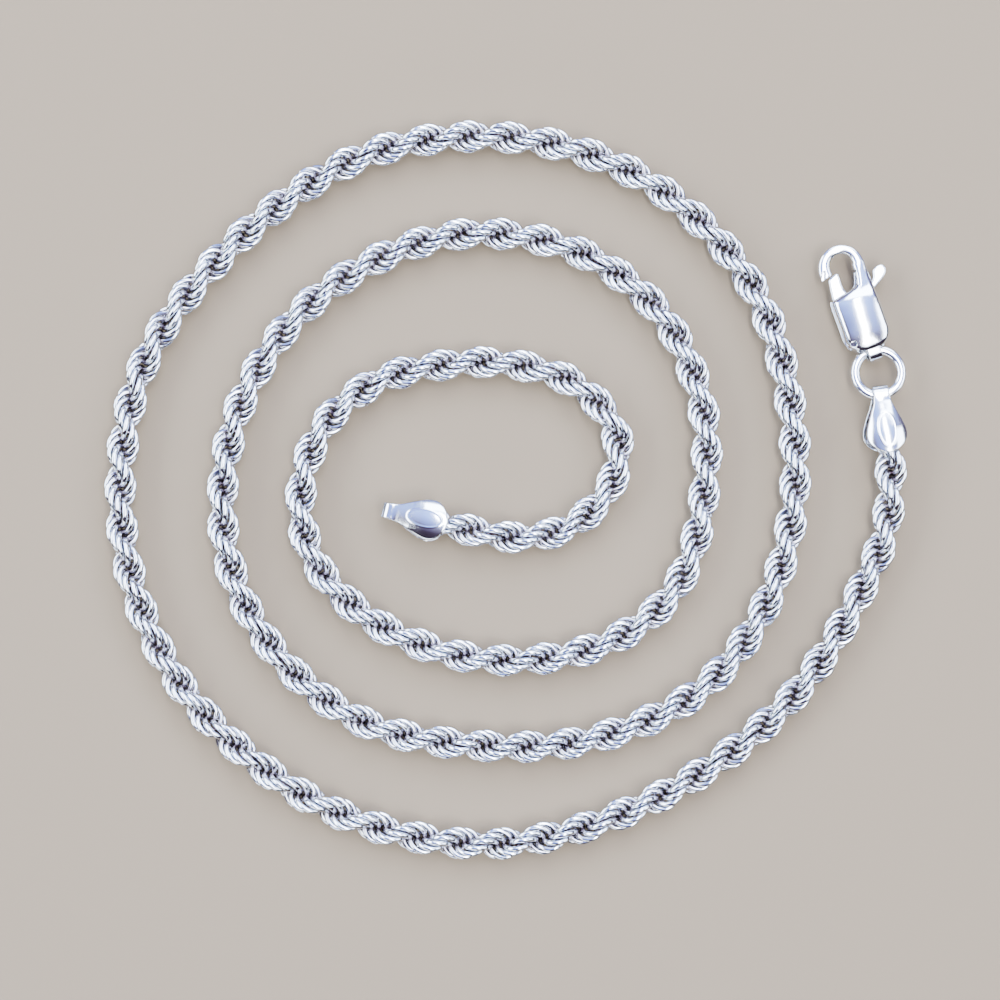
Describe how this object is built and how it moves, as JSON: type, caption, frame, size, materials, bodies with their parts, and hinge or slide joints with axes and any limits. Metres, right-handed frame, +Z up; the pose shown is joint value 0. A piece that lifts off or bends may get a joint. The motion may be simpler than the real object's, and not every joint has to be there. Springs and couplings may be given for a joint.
{
  "type": "rope chain necklace",
  "caption": "Silver double-helix rope chain necklace lying open in a flat spiral, with folded end caps, a jump ring and a lobster clasp.",
  "frame": {"origin": "on the surface that the necklace lies on, under the middle of the spiral's box", "axes": "+Z up from the surface, +Y towards the far side of the spiral, +X towards the side where the clasp lies"},
  "size_m": [0.0674, 0.0621, 0.0035],
  "materials": {
    "rope_silver": "polished sterling silver wire, dark in the gaps between the rings",
    "fitting_silver": "polished sterling silver sheet and castings with fine scratches",
    "pin_silver": "riveted pin, dull ends"
  },
  "bodies": {
    "necklace": {"rope_chain": "rope_silver", "end_cap_tail": "fitting_silver", "end_cap_clasp": "fitting_silver", "jump_ring": "fitting_silver", "clasp_body": "fitting_silver", "clasp_pin": "pin_silver"},
    "lever": {"clasp_lever": "fitting_silver"}
  },
  "joints": [
    {"name": "clasp_lever_hinge", "type": "hinge", "parent": "necklace", "child": "lever", "pos_m": [0.02909, 0.01216, 0.0014], "axis": [0, 0, -1], "range_deg": [0, 15], "stiffness_Nm_per_rad": 0.01}
  ]
}
